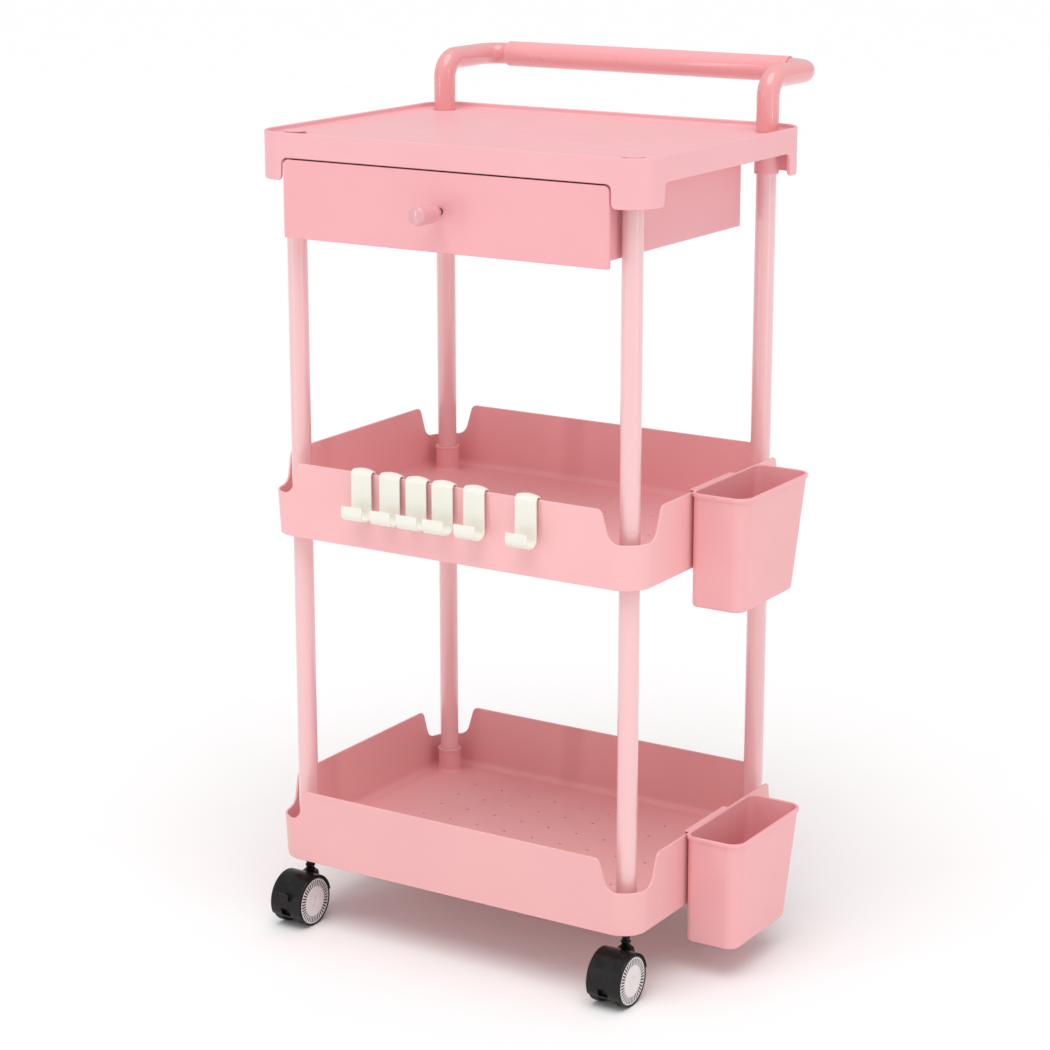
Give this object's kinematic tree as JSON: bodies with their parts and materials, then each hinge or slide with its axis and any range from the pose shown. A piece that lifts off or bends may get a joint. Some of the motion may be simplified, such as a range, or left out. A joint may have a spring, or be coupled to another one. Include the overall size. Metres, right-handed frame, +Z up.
{
  "type": "spa trolley cart",
  "caption": "Rolling spa trolley: recessed tabletop over a drawer, deep trays on tube posts, a rear push handle, hang-on bins and hooks, and swivel casters.",
  "frame": {"origin": "on the floor, under the centre of the trolley's overall box", "axes": "+Z up along the posts, -Y the way the drawer opens, +Y towards the push handle, +X towards the hang-on bins"},
  "size_m": [0.4982, 0.4424, 0.8828],
  "materials": {
    "moulded_pink": "satin moulded pink plastic",
    "bin_pink": "satin moulded pink plastic",
    "tube_pink": "glossy pale pink powder coat",
    "handle_pink": "glossy pink coat",
    "grip_pink": "smooth pink sleeve",
    "knob_pink": "smooth pink plastic",
    "hook_cream": "smooth cream plastic",
    "caster_black": "smooth black plastic",
    "wheel_black": "black soft tread",
    "hub_white": "satin white plastic",
    "stem_steel": "blackened steel",
    "steel": "zinc plated steel"
  },
  "bodies": {
    "frame": {"top_tray": "moulded_pink", "middle_tray": "moulded_pink", "bottom_tray": "moulded_pink", "drawer_housing": "moulded_pink", "post_cap_fl": "moulded_pink", "post_cap_fr": "moulded_pink", "handle_tube": "handle_pink", "handle_grip": "grip_pink", "post_upper_fl": "tube_pink", "post_upper_fr": "tube_pink", "post_upper_rl": "tube_pink", "post_upper_rr": "tube_pink", "post_lower_fl": "tube_pink", "post_lower_fr": "tube_pink", "post_lower_rl": "tube_pink", "post_lower_rr": "tube_pink", "caster_fl_stem": "stem_steel", "caster_fr_stem": "stem_steel", "caster_rl_stem": "stem_steel", "caster_rr_stem": "stem_steel"},
    "drawer": {"drawer_front": "moulded_pink", "drawer_box": "moulded_pink", "drawer_knob": "knob_pink", "knob_screw": "steel"},
    "bin_upper": {"cup_upper": "bin_pink"},
    "bin_lower": {"cup_lower": "bin_pink"},
    "strap_hook_1": {"hook_1": "hook_cream"},
    "strap_hook_2": {"hook_2": "hook_cream"},
    "strap_hook_3": {"hook_3": "hook_cream"},
    "strap_hook_4": {"hook_4": "hook_cream"},
    "strap_hook_5": {"hook_5": "hook_cream"},
    "strap_hook_6": {"hook_6": "hook_cream"},
    "caster_fl": {"caster_fl_hood": "caster_black", "caster_fl_axle": "steel"},
    "roller_fl_left": {"wheel_fl_left": "wheel_black", "hub_fl_left": "hub_white"},
    "roller_fl_right": {"wheel_fl_right": "wheel_black", "hub_fl_right": "hub_white"},
    "brake_fl": {"caster_fl_brake": "caster_black"},
    "caster_fr": {"caster_fr_hood": "caster_black", "caster_fr_axle": "steel"},
    "roller_fr_left": {"wheel_fr_left": "wheel_black", "hub_fr_left": "hub_white"},
    "roller_fr_right": {"wheel_fr_right": "wheel_black", "hub_fr_right": "hub_white"},
    "caster_rl": {"caster_rl_hood": "caster_black", "caster_rl_axle": "steel"},
    "roller_rl_left": {"wheel_rl_left": "wheel_black", "hub_rl_left": "hub_white"},
    "roller_rl_right": {"wheel_rl_right": "wheel_black", "hub_rl_right": "hub_white"},
    "caster_rr": {"caster_rr_hood": "caster_black", "caster_rr_axle": "steel"},
    "roller_rr_left": {"wheel_rr_left": "wheel_black", "hub_rr_left": "hub_white"},
    "roller_rr_right": {"wheel_rr_right": "wheel_black", "hub_rr_right": "hub_white"},
    "brake_rr": {"caster_rr_brake": "caster_black"}
  },
  "joints": [
    {"name": "drawer_slide", "type": "slide", "parent": "frame", "child": "drawer", "axis": [0, -1, 0], "range_m": [0, 0.2]},
    {"name": "bin_upper_lift", "type": "slide", "parent": "frame", "child": "bin_upper", "axis": [0, 0, 1], "range_m": [0, 0.02]},
    {"name": "bin_lower_lift", "type": "slide", "parent": "frame", "child": "bin_lower", "axis": [0, 0, 1], "range_m": [0, 0.02]},
    {"name": "hook_1_lift", "type": "slide", "parent": "frame", "child": "strap_hook_1", "axis": [0, 0, 1], "range_m": [0, 0.03]},
    {"name": "hook_2_lift", "type": "slide", "parent": "frame", "child": "strap_hook_2", "axis": [0, 0, 1], "range_m": [0, 0.03]},
    {"name": "hook_3_lift", "type": "slide", "parent": "frame", "child": "strap_hook_3", "axis": [0, 0, 1], "range_m": [0, 0.03]},
    {"name": "hook_4_lift", "type": "slide", "parent": "frame", "child": "strap_hook_4", "axis": [0, 0, 1], "range_m": [0, 0.03]},
    {"name": "hook_5_lift", "type": "slide", "parent": "frame", "child": "strap_hook_5", "axis": [0, 0, 1], "range_m": [0, 0.03]},
    {"name": "hook_6_lift", "type": "slide", "parent": "frame", "child": "strap_hook_6", "axis": [0, 0, 1], "range_m": [0, 0.03]},
    {"name": "caster_fl_swivel", "type": "hinge", "parent": "frame", "child": "caster_fl", "pos_m": [-0.22005, -0.148, 0.048], "axis": [0, 0, 1], "continuous": true},
    {"name": "wheel_fl_left_spin", "type": "hinge", "parent": "caster_fl", "child": "roller_fl_left", "pos_m": [-0.22005, -0.1655, 0.026], "axis": [1, 0, 0], "continuous": true},
    {"name": "wheel_fl_right_spin", "type": "hinge", "parent": "caster_fl", "child": "roller_fl_right", "pos_m": [-0.22005, -0.1655, 0.026], "axis": [1, 0, 0], "continuous": true},
    {"name": "brake_fl_press", "type": "hinge", "parent": "caster_fl", "child": "brake_fl", "pos_m": [-0.22005, -0.1952, 0.032], "axis": [1, 0, 0], "range_deg": [0, 15]},
    {"name": "caster_fr_swivel", "type": "hinge", "parent": "frame", "child": "caster_fr", "pos_m": [0.15995, -0.148, 0.048], "axis": [0, 0, 1], "continuous": true},
    {"name": "wheel_fr_left_spin", "type": "hinge", "parent": "caster_fr", "child": "roller_fr_left", "pos_m": [0.15995, -0.1655, 0.026], "axis": [1, 0, 0], "continuous": true},
    {"name": "wheel_fr_right_spin", "type": "hinge", "parent": "caster_fr", "child": "roller_fr_right", "pos_m": [0.15995, -0.1655, 0.026], "axis": [1, 0, 0], "continuous": true},
    {"name": "caster_rl_swivel", "type": "hinge", "parent": "frame", "child": "caster_rl", "pos_m": [-0.22005, 0.116, 0.048], "axis": [0, 0, 1], "continuous": true},
    {"name": "wheel_rl_left_spin", "type": "hinge", "parent": "caster_rl", "child": "roller_rl_left", "pos_m": [-0.22005, 0.0985, 0.026], "axis": [1, 0, 0], "continuous": true},
    {"name": "wheel_rl_right_spin", "type": "hinge", "parent": "caster_rl", "child": "roller_rl_right", "pos_m": [-0.22005, 0.0985, 0.026], "axis": [1, 0, 0], "continuous": true},
    {"name": "caster_rr_swivel", "type": "hinge", "parent": "frame", "child": "caster_rr", "pos_m": [0.15995, 0.116, 0.048], "axis": [0, 0, 1], "continuous": true},
    {"name": "wheel_rr_left_spin", "type": "hinge", "parent": "caster_rr", "child": "roller_rr_left", "pos_m": [0.15995, 0.0985, 0.026], "axis": [1, 0, 0], "continuous": true},
    {"name": "wheel_rr_right_spin", "type": "hinge", "parent": "caster_rr", "child": "roller_rr_right", "pos_m": [0.15995, 0.0985, 0.026], "axis": [1, 0, 0], "continuous": true},
    {"name": "brake_rr_press", "type": "hinge", "parent": "caster_rr", "child": "brake_rr", "pos_m": [0.15995, 0.0688, 0.032], "axis": [1, 0, 0], "range_deg": [0, 15]}
  ]
}
